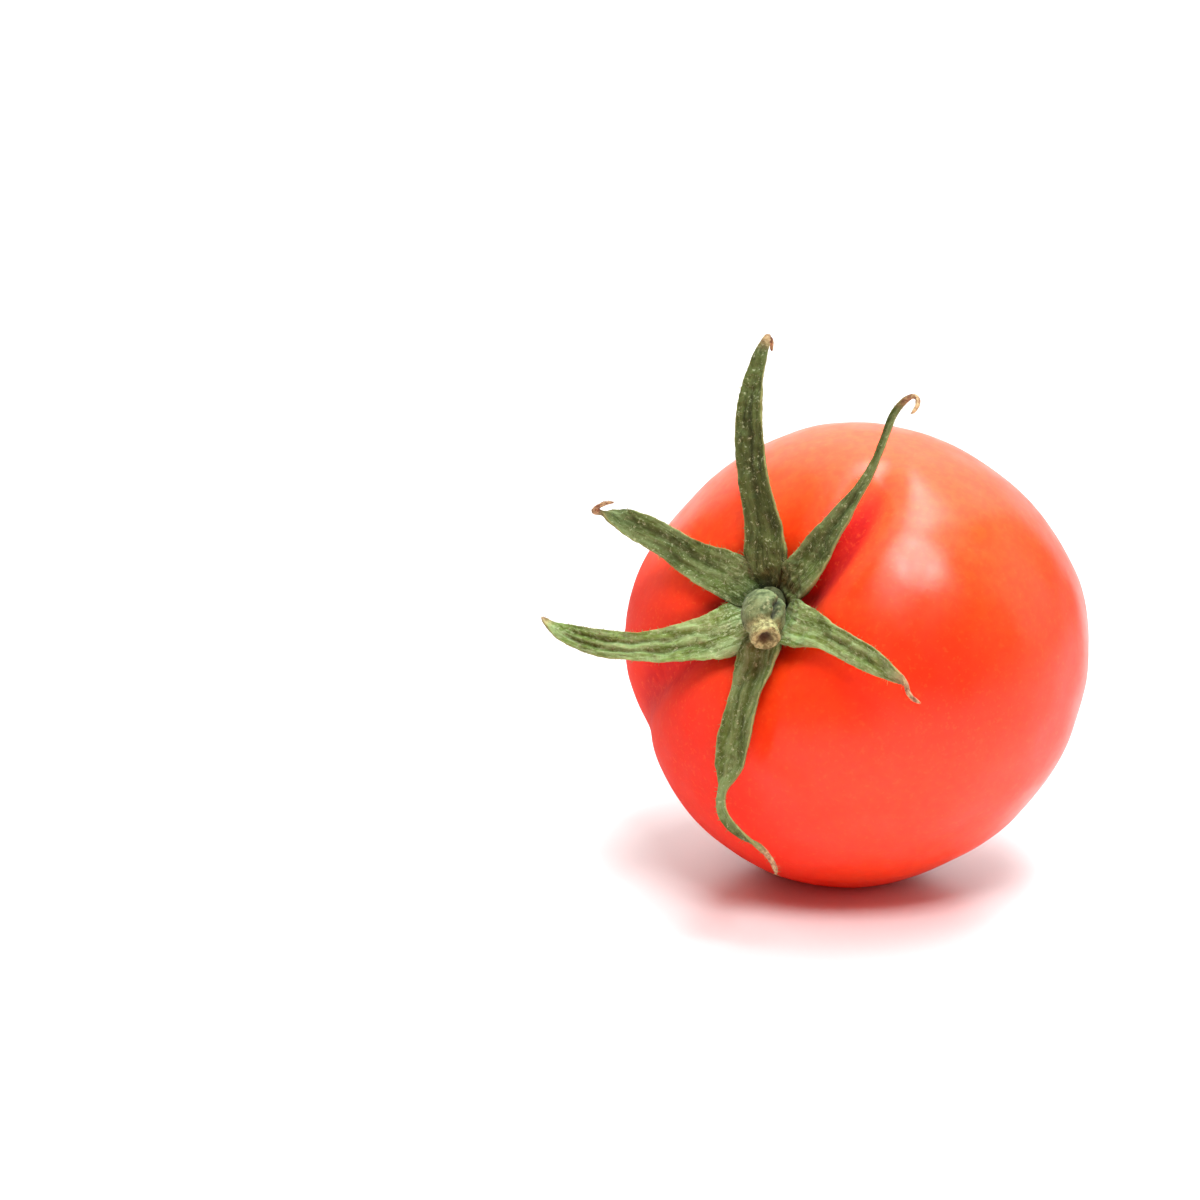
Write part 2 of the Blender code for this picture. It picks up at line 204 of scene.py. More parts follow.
def floor_height(radius):
    """Height of the stem hollow's floor at a distance from the stem axis."""
    share = radius / FRUIT_RADIUS
    shoulder = STEM_HALF_HEIGHT * (1.0 - share ** SHOULDER_POWER) ** (1.0 / SHOULDER_POWER)
    return shoulder - HOLLOW_DEPTH * math.exp(-(radius / HOLLOW_RADIUS) ** 2)


ROOT_HEIGHT = floor_height(ROOT_RADIUS) + ROOT_CLEARANCE


def past_furrow(degrees, azimuth, start, end, reach):
    """Angle from a furrow's middle line to an azimuth, at a polar angle in degrees."""
    course = min(max((degrees - FURROW_ONSET) / (reach - FURROW_ONSET), 0.0), 1.0)
    return azimuth - math.radians(start + (end - start) * course ** FURROW_BEND)


def furrow_depth(polar, azimuth, radius):
    """How deep the furrows cut in at a place on the skin."""
    depth = 0.0
    degrees = math.degrees(polar)
    for start, end, full_depth, half_width, reach in FURROWS:
        aside = past_furrow(degrees, azimuth, start, end, reach)
        if math.cos(aside) <= 0.0:
            continue
        across = math.exp(-(radius * math.sin(aside) / half_width) ** 2)
        onset = fade(degrees / FURROW_ONSET)
        full_until = FURROW_FULL_SHARE * reach
        ending = 1.0 - fade((degrees - full_until) / (reach - full_until))
        depth += full_depth * across * onset * ending
    return depth


def lobe_height(polar, azimuth):
    """How far the broad lobes stand out at a place on the skin."""
    height = 0.0
    for count, crest_height, crest in LOBES:
        height += crest_height * math.cos(count * (azimuth - math.radians(crest)))
    return height * math.sin(polar) ** 2


def mesh_object(name, points, faces, paint, attributes=None):
    """A smooth object from points in the fruit's frame, placed in the row frame."""
    data = bpy.data.meshes.new(name)
    data.from_pydata([PLACE @ Vector(point) for point in points], [], faces)
    for key, values in (attributes or {}).items():
        layer = data.attributes.new(key, "FLOAT", "POINT")
        layer.data.foreach_set("value", np.asarray(values, np.float32))
    data.materials.append(paint)
    data.validate()
    data.shade_smooth()
    made = bpy.data.objects.new(name, data)
    bpy.context.scene.collection.objects.link(made)
    return made


def ring_faces(first, second, count, flip=False):
    """Quads between two rings of vertices."""
    faces = []
    for i in range(count):
        j = (i + 1) % count
        quad = (first + i, first + j, second + j, second + i)
        faces.append(quad[::-1] if flip else quad)
    return faces


def cap_faces(ring, apex, count, flip=False):
    """Triangles from a ring of vertices to one point."""
    faces = []
    for i in range(count):
        j = (i + 1) % count
        tri = (ring + i, ring + j, apex)
        faces.append(tri[::-1] if flip else tri)
    return faces


# ---------------------------------------------------------------- materials
class Paint:
    """A Principled material and short ways to add nodes to it."""

    def __init__(self, name):
        self.made = bpy.data.materials.new(name)
        self.made.use_nodes = True
        self.tree = self.made.node_tree
        self.shader = self.tree.nodes["Principled BSDF"]

    def node(self, kind, **settings):
        made = self.tree.nodes.new(kind)
        for key, value in settings.items():
            setattr(made, key, value)
        return made

    def link(self, source, target):
        self.tree.links.new(source, target)

    def put(self, target, value):
        if isinstance(value, bpy.types.NodeSocket):
            self.link(value, target)
        else:
            target.default_value = value

    def position(self):
        return self.node("ShaderNodeTexCoord").outputs["Object"]

    def noise(self, scale, detail=3.0, roughness=0.55, distortion=0.0, vector=None):
        made = self.node("ShaderNodeTexNoise")
        self.put(made.inputs["Vector"], vector or self.position())
        made.inputs["Scale"].default_value = scale
        made.inputs["Detail"].default_value = detail
        made.inputs["Roughness"].default_value = roughness
        made.inputs["Distortion"].default_value = distortion
        return made.outputs["Fac"]

    def combine(self, *parts):
        made = self.node("ShaderNodeCombineXYZ")
        for socket, part in zip(made.inputs, parts):
            self.put(socket, part)
        return made.outputs[0]

    def attribute(self, name):
        return self.node("ShaderNodeAttribute", attribute_name=name).outputs["Fac"]

    def remap(self, value, low, high, out_low=0.0, out_high=1.0):
        made = self.node("ShaderNodeMapRange", interpolation_type="SMOOTHSTEP")
        self.put(made.inputs["Value"], value)
        for socket, number in zip(("From Min", "From Max", "To Min", "To Max"),
                                  (low, high, out_low, out_high)):
            made.inputs[socket].default_value = number
        return made.outputs["Result"]

    def math(self, operation, first, second=0.0):
        made = self.node("ShaderNodeMath", operation=operation)
        self.put(made.inputs[0], first)
        self.put(made.inputs[1], second)
        return made.outputs[0]

    def mix(self, share, first, second, blend="MIX"):
        made = self.node("ShaderNodeMix", data_type="RGBA", blend_type=blend)
        self.put(made.inputs["Factor"], share)
        for socket, value in ((made.inputs[6], first), (made.inputs[7], second)):
            self.put(socket, (*value, 1.0) if isinstance(value, tuple) else value)
        return made.outputs[2]

    def bump(self, height, distance, strength=1.0, normal=None):
        made = self.node("ShaderNodeBump")
        self.put(made.inputs["Height"], height)
        made.inputs["Distance"].default_value = distance
        made.inputs["Strength"].default_value = strength
        if normal:
            self.link(normal, made.inputs["Normal"])
        return made.outputs["Normal"]

    def set(self, **values):
        names = {"colour": "Base Color", "roughness": "Roughness", "normal": "Normal",
                 "ior": "IOR", "subsurface": "Subsurface Weight", "scatter": "Subsurface Radius",
                 "scatter_scale": "Subsurface Scale", "specular": "Specular IOR Level",
                 "sheen": "Sheen Weight", "sheen_roughness": "Sheen Roughness",
                 "sheen_tint": "Sheen Tint"}
        for key, value in values.items():
            if isinstance(value, tuple) and key in ("colour", "sheen_tint"):
                value = (*value, 1.0)
            self.put(self.shader.inputs[names[key]], value)
        return self.made


def skin_paint():
    """Ripe skin: orange-red with fine golden specks, with painted light on the upper shoulder and
    painted shade in the furrows and on the shaded flank.
    """
    paint = Paint("tomato_skin")
    patches = paint.remap(paint.noise(38.0, 3.0, 0.5), 0.36, 0.66)
    colour = paint.mix(patches, (0.82, 0.037, 0.004), (0.86, 0.052, 0.006))
    # painted light: the shoulder that faces up is painted more orange; the faint rays are the skin's
    # own colour
    painted_light_and_rays = paint.attribute("painted_light_and_rays")
    colour = paint.mix(painted_light_and_rays, colour, (0.90, 0.105, 0.012))
    # painted shade deepens the red on the shaded flank; a patch on the low front is redder too
    colour = paint.mix(paint.attribute("deeper_red"), colour, (0.78, 0.019, 0.003))
    # painted shade: the furrows are painted a darker red, the more so the deeper they are
    furrow = paint.attribute("furrow")
    colour = paint.mix(paint.remap(furrow, 0.18, 0.75, 0.0, 1.0), colour, (0.53, 0.003, 0.001))
    specks = paint.remap(paint.noise(1500.0, 2.0, 0.6), 0.54, 0.74, 0.0, 0.26)
    colour = paint.mix(specks, colour, (0.95, 0.16, 0.03))
    grain = paint.remap(paint.noise(760.0, 2.0, 0.6), 0.32, 0.68, 0.0, 0.36)
    colour = paint.mix(grain, colour, (0.72, 0.024, 0.004))
    scar = paint.attribute("scar")
    cork = paint.mix(paint.noise(2600.0, 4.0, 0.7), (0.20, 0.11, 0.045), (0.46, 0.33, 0.17))
    colour = paint.mix(scar, colour, cork)
    roughness = paint.remap(paint.noise(300.0, 2.0), 0.3, 0.7, 0.28, 0.36)
    matte = paint.math("MAXIMUM", paint.remap(paint.attribute("matte"), 0.10, 0.50, 0.0, 0.50),
                       paint.remap(paint.attribute("flank"), 0.0, 1.0, 0.0, 0.45))
    roughness = paint.math("ADD", roughness, matte)
    normal = paint.bump(paint.noise(1100.0, 3.0, 0.6), 0.00003, 0.5)
    return paint.set(colour=colour, roughness=roughness, normal=normal,
                     subsurface=0.25, scatter=(1.0, 0.10, 0.03), scatter_scale=0.007,
                     specular=0.36)


def sepal_paint():
    """Matte green leaf: blotches and streaks along it, pale at the hub and on the rim, with painted
    shade in its grooves, in the dip at the hub and in the creases between blades.
    """
    paint = Paint("sepal_leaf")
    along, aside = paint.attribute("along"), paint.attribute("aside")
    streaked = paint.combine(paint.math("MULTIPLY", along, 0.14), aside, 0.0)
    blotched = paint.combine(paint.math("MULTIPLY", along, 0.50), aside, 3.0)
    streaks = paint.remap(paint.noise(0.85, 3.0, 0.55, 0.3, streaked), 0.38, 0.66)
    blotches = paint.remap(paint.noise(0.42, 4.0, 0.60, 0.5, blotched), 0.34, 0.62)
    colour = paint.mix(blotches, (0.062, 0.112, 0.014), (0.140, 0.235, 0.048))
    colour = paint.mix(paint.math("MULTIPLY", streaks, 0.80), colour, (0.290, 0.430, 0.185))
    # painted shade: darker along the grooves
    groove = paint.attribute("groove")
    colour = paint.mix(paint.math("MULTIPLY", groove, 0.66), colour, (0.045, 0.076, 0.010))
    root = paint.attribute("root")
    flecks = paint.remap(paint.noise(2.0, 5.0, 0.75, 0.2, blotched), 0.49, 0.63)
    paleness = paint.math("ADD", paint.math("MULTIPLY", root, 0.65), 0.30)
    colour = paint.mix(paint.math("MULTIPLY", flecks, paleness), colour, (0.42, 0.56, 0.30))
    shade = paint.math("SUBTRACT", 1.0, paint.attribute("tone"))
    colour = paint.mix(shade, colour, (0.30, 0.29, 0.18), "MULTIPLY")
    hairs = paint.remap(paint.noise(1500.0, 4.0, 0.75), 0.575, 0.66, 0.0, 0.60)
    colour = paint.mix(hairs, colour, (0.40, 0.48, 0.27))
    dots = paint.remap(paint.noise(1300.0, 3.0, 0.65), 0.60, 0.70, 0.0, 0.5)
    colour = paint.mix(dots, colour, (0.022, 0.034, 0.006))
    # painted shade: darker down in the dip towards the stalk and in the creases between the blades
    # at the hub
    dip = paint.math("MULTIPLY", paint.attribute("dip"), 0.90)
    colour = paint.mix(dip, colour, (0.012, 0.020, 0.005))
    edge = paint.attribute("edge")
    colour = paint.mix(paint.remap(edge, 0.35, 1.0, 0.0, 0.55), colour, (0.34, 0.37, 0.13))
    dry = paint.attribute("dry")
    husk = paint.mix(paint.remap(paint.noise(1100.0, 4.0, 0.7), 0.38, 0.62),
                     (0.20, 0.095, 0.055), (0.52, 0.41, 0.21))
    colour = paint.mix(dry, colour, husk)
    normal = paint.bump(paint.noise(2000.0, 4.0, 0.7), 0.00010, 0.5)
    normal = paint.bump(paint.noise(2.6, 5.0, 0.75, 0.2, blotched), 0.00022, 0.8, normal)
    normal = paint.bump(paint.noise(0.85, 3.0, 0.55, 0.3, streaked), 0.00060, 0.9, normal)
    return paint.set(colour=colour, roughness=0.72, normal=normal, specular=0.22,
                     subsurface=0.06, scatter=(0.6, 1.0, 0.15), scatter_scale=0.0008,
                     sheen=0.03, sheen_roughness=0.5, sheen_tint=(0.90, 1.0, 0.75))


def stalk_paint(name="stalk_bark"):
    """The stalk's grey-green skin and the tan fibres of its dry end, with painted shade in its
    recesses.
    """
    paint = Paint(name)
    mottle = paint.remap(paint.noise(420.0, 5.0, 0.65), 0.38, 0.62)
    colour = paint.mix(mottle, (0.036, 0.066, 0.015), (0.160, 0.220, 0.090))
    flecks = paint.remap(paint.noise(1300.0, 4.0, 0.7), 0.54, 0.66, 0.0, 0.6)
    colour = paint.mix(flecks, colour, (0.36, 0.40, 0.20))
    dry = paint.attribute("dry")
    husk = paint.mix(paint.remap(paint.noise(1500.0, 4.0, 0.7), 0.35, 0.65),
                     (0.125, 0.125, 0.042), (0.41, 0.44, 0.19))
    colour = paint.mix(dry, colour, husk)
    # painted shade: darker in the split down the knuckle, in the pit of the dry end, round the
    # stalk's foot and on the button's top in the hollow
    painted_shade_colour = paint.mix(dry, (0.012, 0.018, 0.004), (0.050, 0.036, 0.012))
    colour = paint.mix(paint.attribute("recess_shade"), colour, painted_shade_colour)
    normal = paint.bump(paint.noise(2200.0, 4.0, 0.7), 0.00010, 0.6)
    return paint.set(colour=colour, roughness=0.72, normal=normal, specular=0.35,
                     sheen=0.05, sheen_roughness=0.5, sheen_tint=(0.95, 1.0, 0.85))


# ---------------------------------------------------------------- fruit
def angle_between(polar, azimuth, other_polar, other_azimuth):
    """Angle between two directions, in radians."""
    cosine = (math.cos(polar) * math.cos(other_polar)
              + math.sin(polar) * math.sin(other_polar) * math.cos(azimuth - other_azimuth))
    return math.acos(min(max(cosine, -1.0), 1.0))


def fruit_shape():
    """Points, faces and colour values of the fine fruit, in its own frame."""
    points = []
    values = {key: [] for key in ("furrow", "painted_light_and_rays", "scar", "flank", "deeper_red", "matte")}
    down = TURNED.inverted() @ Vector((0.0, 0.0, -1.0))

    def add(polar, azimuth):
        radius, height = skin_profile(polar)
        reach = math.hypot(radius, height)
        furrow = furrow_depth(polar, azimuth, radius)
        relief = lobe_height(polar, azimuth) - furrow
        direction = Vector((radius * math.cos(azimuth), radius * math.sin(azimuth), height)) / reach
        place = direction * FRUIT_RADIUS
        relief += WAVE_HEIGHT * rough(place, WAVE_SIZE, 3.1, 2) * math.sin(polar)
        relief += RIPPLE_HEIGHT * rough(place, RIPPLE_SIZE, 8.4, 2)
        for dent_polar, dent_azimuth, dent_radius, dent_depth in DENTS:
            apart = angle_between(polar, azimuth, math.radians(dent_polar),
                                  math.radians(dent_azimuth)) * FRUIT_RADIUS / dent_radius
            relief -= dent_depth * math.exp(-apart ** 2)
        scar = 0.0
        if math.cos(polar) < 0.0:
            uneven = 1.0 + 0.45 * rough(place, 0.9 * MM, 17.0)
            scar = 1.0 - fade((radius / (SCAR_RADIUS * uneven) - 0.5) / 0.7)
            relief += SCAR_RISE * scar * (1.0 + rough(place, 0.5 * MM, 2.0))
            relief -= SCAR_PIT_DEPTH * math.exp(-(radius / SCAR_PIT_RADIUS) ** 2)
        points.append(direction * (reach + relief))
        from_flank = angle_between(polar, azimuth, *map(math.radians, FLANK_PLACE))
        flank = fade((math.cos(from_flank) - 0.35) / 0.4)
        from_red_patch = angle_between(polar, azimuth, *map(math.radians, RED_PATCH_PLACE))
        deeper_red = math.exp(-(math.degrees(from_red_patch) / RED_PATCH_SPREAD) ** 2)
        # the furrow value drives the painted shade in the skin's colour
        values["furrow"].append(furrow / FULL_FURROW)
        values["painted_light_and_rays"].append(painted_light_and_rays_at(polar, azimuth))
        values["scar"].append(scar)
        values["flank"].append(flank)
        # the flank's share is painted shade
        values["deeper_red"].append(max(0.85 * flank, 0.80 * deeper_red))
        values["matte"].append(matte_at(polar, azimuth, radius))

    add(0.0, 0.0)
    for ring in range(1, SKIN_RINGS):
        for segment in range(SKIN_SEGMENTS):
            add(math.pi * ring / SKIN_RINGS, 2.0 * math.pi * segment / SKIN_SEGMENTS)
    add(math.pi, 0.0)

    level = max(plain_reaches_along(down)) - REST_DEPTH
    for point in points:
        above = level - point.dot(down)
        if above < REST_NEAR * REST_RIM:
            softened = 0.0
            if above > -REST_DEEP * REST_RIM:
                softened = REST_RIM * math.log1p(math.exp(above / REST_RIM))
            point += down * (above - softened)
    faces = cap_faces(1, 0, SKIN_SEGMENTS)
    for ring in range(SKIN_RINGS - 2):
        start = 1 + ring * SKIN_SEGMENTS
        faces += ring_faces(start, start + SKIN_SEGMENTS, SKIN_SEGMENTS, flip=True)
    last_ring = 1 + (SKIN_RINGS - 2) * SKIN_SEGMENTS
    faces += cap_faces(last_ring, len(points) - 1, SKIN_SEGMENTS, flip=True)
    return points, faces, values


def plain_reaches_along(down):
    """How far the skin, without its fine relief, reaches along a direction, place by place."""
    for polar in np.linspace(0.3, math.pi - 0.3, 160):
        for azimuth in np.linspace(0.0, 2.0 * math.pi, 240, endpoint=False):
            radius, height = skin_profile(polar)
            relief = lobe_height(polar, azimuth) - furrow_depth(polar, azimuth, radius)
            scale = 1.0 + relief / math.hypot(radius, height)
            place = Vector((radius * math.cos(azimuth), radius * math.sin(azimuth), height))
            yield scale * place.dot(down)


def matte_at(polar, azimuth, radius):
    """How far the skin is in the shelter of a deep furrow, where it has little gloss."""
    most = 0.0
    degrees = math.degrees(polar)
    for start, end, full_depth, half_width, reach in FURROWS:
        if full_depth < DEEP_FURROW:
            continue
        aside = past_furrow(degrees, azimuth, start, end, reach)
        if math.cos(aside) > 0.0:
            across = math.exp(-(radius * math.sin(aside) / (1.4 * half_width)) ** 2)
            most = max(most, across * (1.0 - fade((degrees / reach - 0.62) / 0.20)))
    return most


def painted_light_and_rays_at(polar, azimuth):
    """Where the skin is more orange: painted light on the shoulder that faces up, and faint rays
    from the stem end.
    """
    rays = 0.5 + 0.5 * math.sin(9.0 * azimuth + 2.0 * math.sin(3.0 * azimuth))
    near = math.exp(-(math.degrees(polar) / 34.0) ** 2)
    shoulder = math.exp(-((math.degrees(polar) - 58.0) / 26.0) ** 2)
    facing = 0.5 + 0.5 * math.cos(azimuth - math.radians(95.0))
    return min(1.0, 0.10 + 0.35 * rays * near + 0.85 * shoulder * facing ** 1.5)


# ---------------------------------------------------------------- sepals
def smoothed(stations, column, distance, spread):
    """A column of a sepal's stations at a distance, evened out over a spread."""
    marks = [station[0] * MM for station in stations]
    values = [station[column] for station in stations]
    places = distance + spread * np.linspace(-1.0, 1.0, 7)
    return float(np.mean(np.interp(places, marks, values)))


def heading_vector(rise, azimuth):
    """Unit vector at a rise above square to the stem axis and an azimuth about it."""
    level = math.cos(rise)
    return Vector((level * math.cos(azimuth), level * math.sin(azimuth), math.sin(rise)))


PROFILE = [skin_profile(polar) for polar in np.linspace(0.0, math.pi, 181)]
PROFILE_ANGLES = [math.atan2(radius, height) for radius, height in PROFILE]
PROFILE_REACHES = [math.hypot(radius, height) for radius, height in PROFILE]


def lifted(point):
    """The point, moved out from the fruit's centre until it clears the skin."""
    direction = math.atan2(math.hypot(point.x, point.y), point.z)
    over = point.length - float(np.interp(direction, PROFILE_ANGLES, PROFILE_REACHES))
    short = ROOT_CLEARANCE - over
    if short <= 0.0 or math.hypot(point.x, point.y) < ROOT_RADIUS:
        return point
    return point + point.normalized() * short


def course_angles(stations, distance):
    """A sepal's rise and its veer from its azimuth, in radians, at a distance from the root."""
    return [math.radians(smoothed(stations, column, distance, COURSE_SMOOTHING))
            for column in (1, 2)]


def blade_course(azimuth, stations):
    """Rows along a sepal: middle, rise, heading, full width and distance from the root."""
    length = stations[-1][0] * MM
    rise, veer = course_angles(stations, 0.0)
    root = ROOT_RADIUS * heading_vector(0.0, azimuth) + Vector((0.0, 0.0, ROOT_HEIGHT))
    foot = root - BLADE_INSET * heading_vector(rise, azimuth + veer)
    foot.x = root.x * (ROOT_RADIUS - BLADE_INSET) / ROOT_RADIUS
    foot.y = root.y * (ROOT_RADIUS - BLADE_INSET) / ROOT_RADIUS
    rows = []
    step = (length + BLADE_INSET) / BLADE_ROWS
    inner = int(round(BLADE_INSET / step))
    for row in range(inner):
        share = row / inner
        rows.append((foot.lerp(root, share), rise, azimuth + veer * share,
                     smoothed(stations, 3, 0.0, WIDTH_SMOOTHING) * MM,
                     (share - 1.0) * BLADE_INSET))
    point = root
    distance = 0.0
    outer = BLADE_ROWS - inner
    step = length / outer
    for row in range(outer + 1):
        rise, veer = course_angles(stations, distance)
        width = smoothed(stations, 3, distance, WIDTH_SMOOTHING) * MM
        rows.append((lifted(point), rise, azimuth + veer, width, distance))
        for i in range(COURSE_PARTS):
            rise, veer = course_angles(stations, distance + (i + 0.5) * step / COURSE_PARTS)
            point = point + step / COURSE_PARTS * heading_vector(rise, azimuth + veer)
        distance += step
    return rows


def side_limit(middle, sideways, edge_azimuth, turn):
    """How far a blade may reach sideways before it is well into its neighbour."""
    beyond = Vector((-math.sin(edge_azimuth), math.cos(edge_azimuth), 0.0)) * turn
    approach = sideways.dot(beyond)
    if approach <= 0.05:
        return 1.0
    return max((OVERLAP - middle.dot(beyond)) / approach, 0.3 * MM)


def soft_least(first, second, blend=0.35 * MM):
    """The lesser of two lengths, rounded where they are alike."""
    share = min(max(0.5 + 0.5 * (second - first) / blend, 0.0), 1.0)
    return second * (1.0 - share) + first * share - blend * share * (1.0 - share)


def groove_at(grooves, side, distance, waver):
    """Depth of a blade's grooves, with their raised shoulders, and the painted shade in them, at a
    place on it.
    """
    depth, dark = 0.0, 0.0
    for centre, width, start, end, deep in grooves:
        along = fade((distance / MM - start) / 4.0) * fade((end - distance / MM) / 5.0)
        offset = (side - centre - waver) / width
        shoulder = 0.35 * math.exp(-((abs(offset) - 1.9) / 0.8) ** 2)
        line = math.exp(-offset ** 2)
        depth += along * deep * MM * (line - shoulder)
        dark = max(dark, along * line * min(deep / 0.26, 1.0))
    return depth, dark


def make_sepal(name, azimuth, stations, edges, paint, seed):
    """One sepal: a closed fleshy blade with grooves and a twisted dry tail, and its hairs."""
    dry_from, twist, hair_count, tone, grooves = CHARACTER[name]
    rng = random.Random(seed)
    rows = blade_course(math.radians(azimuth), stations)
    length = stations[-1][0] * MM
    points, hair_seats = [], []
    keys = ("groove", "edge", "dry", "along", "aside", "root", "dip", "tone")
    values = {key: [] for key in keys}
    for row, (middle, rise, heading, width, distance) in enumerate(rows):
        tangent = heading_vector(rise, heading)
        across = Vector((-math.sin(heading), math.cos(heading), 0.0))
        if 0 < row < len(rows) - 1:
            tangent = (rows[row + 1][0] - rows[row - 1][0]).normalized()
            across = (across - tangent * across.dot(tangent)).normalized()
        up = tangent.cross(across)
        fullness = fade((width - 1.0 * MM) / (2.5 * MM))
        rooting = 1.0 - fade(distance / ROOT_THICK_REACH)
        collar = math.exp(-((distance - COLLAR_PLACE) / (1.9 * MM)) ** 2)
        dip = fade((FUNNEL_REACH - distance) / (FUNNEL_REACH + BLADE_INSET))
        middle = middle - Vector((0.0, 0.0, FUNNEL_DEPTH * dip))
        thickness = TAIL_THICKNESS + (BLADE_THICKNESS - TAIL_THICKNESS) * fullness
        thickness += (ROOT_THICKNESS - BLADE_THICKNESS) * rooting * (1.0 - 0.6 * dip)
        dryness = fade((distance - dry_from * MM) / (4.0 * MM) + 0.3)
        twist_from = (dry_from - 6.0) * MM
        roll = math.radians(twist) * fade((distance - twist_from) / (length - twist_from))
        roll += math.radians(6.0) * rough(middle, 6.0 * MM, seed) * fade(distance / (8.0 * MM))
        turned_across = across * math.cos(roll) + up * math.sin(roll)
        turned_up = up * math.cos(roll) - across * math.sin(roll)
        ending = min(1.0, math.sqrt(max((length - distance) / (0.8 * MM), 0.0)))
        shrink = 1.0 - 0.18 * dryness * (0.5 + 0.5 * rough(middle, 1.2 * MM, seed + 9.0))
        halves = {}
        for turn, edge in ((1, edges[1]), (-1, edges[0])):
            beside = middle + across * turn * width
            wave = 0.05 * rough(beside, 2.4 * MM, seed + turn)
            wave += 0.02 * rough(beside, 0.7 * MM, seed)
            half = 0.5 * width * (1.0 + wave * fade(distance / (5.0 * MM))) * shrink
            limit = side_limit(middle, across * turn, math.radians(edge), turn)
            half = max(soft_least(half, limit), LEAST_HALF_WIDTH)
            halves[turn] = half * (0.15 + 0.85 * ending)
        mean_half = 0.5 * (halves[1] + halves[-1])
        waver = 0.14 * rough(middle, 5.0 * MM, seed + 4.0)
        for column in range(BLADE_COLUMNS):
            angle = 2.0 * math.pi * column / BLADE_COLUMNS
            side, upper = math.cos(angle), math.sin(angle)
            half = halves[1 if side > 0.0 else -1]
            sag = CHANNEL * 2.0 * mean_half * (1.0 - side * side)
            body = math.copysign(abs(upper) ** 0.5, upper) * 0.5 * thickness
            body *= 0.2 + 0.8 * ending
            place = middle + turned_across * half * side
            dark = 0.0
            if upper >= 0.0:
                soft = upper ** 0.5
                depth, dark = groove_at(grooves, side, distance, waver)
                body -= depth * soft * fullness
                lumps = 0.42 * rough(place, 2.0 * MM, seed + 2.0) * (0.25 + 0.75 * fullness)
                lumps += 0.07 * rough(place, 0.5 * MM, seed + 5.0, 2)
                body += lumps * soft * MM * (1.0 + 0.5 * rooting)
                body += COLLAR_RISE * collar * soft
                past_root = fade((distance + 1.0 * MM) / (2.0 * MM))
                body += 0.22 * MM * rooting * side ** 4 * past_root
            else:
                body += 0.08 * MM * rough(place, 1.6 * MM, seed + 6.0)
            curl = 0.25 * MM * abs(side) ** 5 * fullness * rough(place, 4.0 * MM, seed + 7.0)
            point = place + turned_up * (body + curl) - up * sag
            points.append(point)
            # painted shade along the grooves
            values["groove"].append(dark)
            values["edge"].append(abs(side) ** 7 * fade((distance - 2.0 * MM) / (4.0 * MM)))
            values["dry"].append(dryness)
            values["along"].append(distance / MM + 60.0 * seed)
            values["aside"].append(half * side / MM + (8.0 if upper < 0.0 else 0.0))
            values["root"].append(1.0 - fade((distance / MM - 1.0) / 9.0))
            # painted shade in the dip at the hub and in the creases between blades
            inwards = distance / MM + 0.7 + 0.6 * rough(place, 1.2 * MM, seed)
            hollow = 1.0 - fade(inwards / 1.9)
            crease = 0.75 * abs(side) ** 5 * (1.0 - fade((distance / MM - 0.5) / 4.0))
            values["dip"].append(max(hollow, crease))
            values["tone"].append(tone)
            if upper > -0.2 and rng.random() < HAIR_SHARE:
                outward = (turned_across * side + turned_up * max(upper, 0.15)).normalized()
                hair_seats.append((point, outward, tangent, abs(side), dryness))
    count = BLADE_COLUMNS
    faces = []
    for row in range(len(rows) - 1):
        faces += ring_faces(row * count, (row + 1) * count, count)
    for row, flip in ((0, True), (len(rows) - 1, False)):
        points.append(sum((points[row * count + i] for i in range(count)), Vector()) / count)
        for layer in values.values():
            layer.append(layer[row * count])
        faces += cap_faces(row * count, len(points) - 1, count, flip)
    seats = sorted(hair_seats, key=lambda seat: -seat[3] + 0.5 * rng.random())[:hair_count]
    for seat, out, along, _, dryness in seats:
        add_hair(points, faces, values, seat, out, along, dryness, rng)
    return mesh_object(name, points, faces, paint, values)


def add_hair(points, faces, values, seat, out, along, dryness, rng):
    """One fine closed hair: a bent three-sided spike with its foot in the blade."""
    length = rng.uniform(0.35, 0.95) * MM
    lean = along * rng.uniform(-0.3, 0.8) + Vector((rng.uniform(-0.4, 0.4),) * 3)
    direction = (out + lean).normalized()
    swerve = Vector([rng.uniform(-0.5, 0.5) for _ in range(3)])
    bend = (direction + swerve).normalized()
    aside = direction.orthogonal().normalized()
    other = direction.cross(aside)
    start = len(points)
    centre = seat - direction * HAIR_FOOT
    for level, radius in ((0.0, HAIR_RADIUS), (HAIR_BEND, HAIR_BEND_RADIUS)):
        at = centre + direction * length * level
        for i in range(3):
            turn = 2.0 * math.pi * i / 3.0
            points.append(at + (aside * math.cos(turn) + other * math.sin(turn)) * radius)
    points.append(centre + direction * HAIR_BEND * length + bend * (1.0 - HAIR_BEND) * length)
    faces.append((start + 2, start + 1, start))
    faces += ring_faces(start, start + 3, 3)
    faces += cap_faces(start + 3, start + 6, 3)
    shades = {"edge": 0.9, "dry": 0.5 * dryness}
    for key, layer in values.items():
        layer.extend([shades.get(key, 0.0)] * 7)


# ---------------------------------------------------------------- receptacle and stalk
BUTTON_SUNK = 0.3 * MM               # its top below the roots of the sepals
BUTTON_ROUNDING = 0.5 * MM           # how far its top falls towards the rim
BUTTON_CLEARANCE = 0.25 * MM         # its underside to the floor of the hollow
BUTTON_RINGS, BUTTON_SEGMENTS = 26, 72
SIDE_RINGS, UNDER_RINGS = 6, 9
LUMPY_SIDE_RINGS = 4


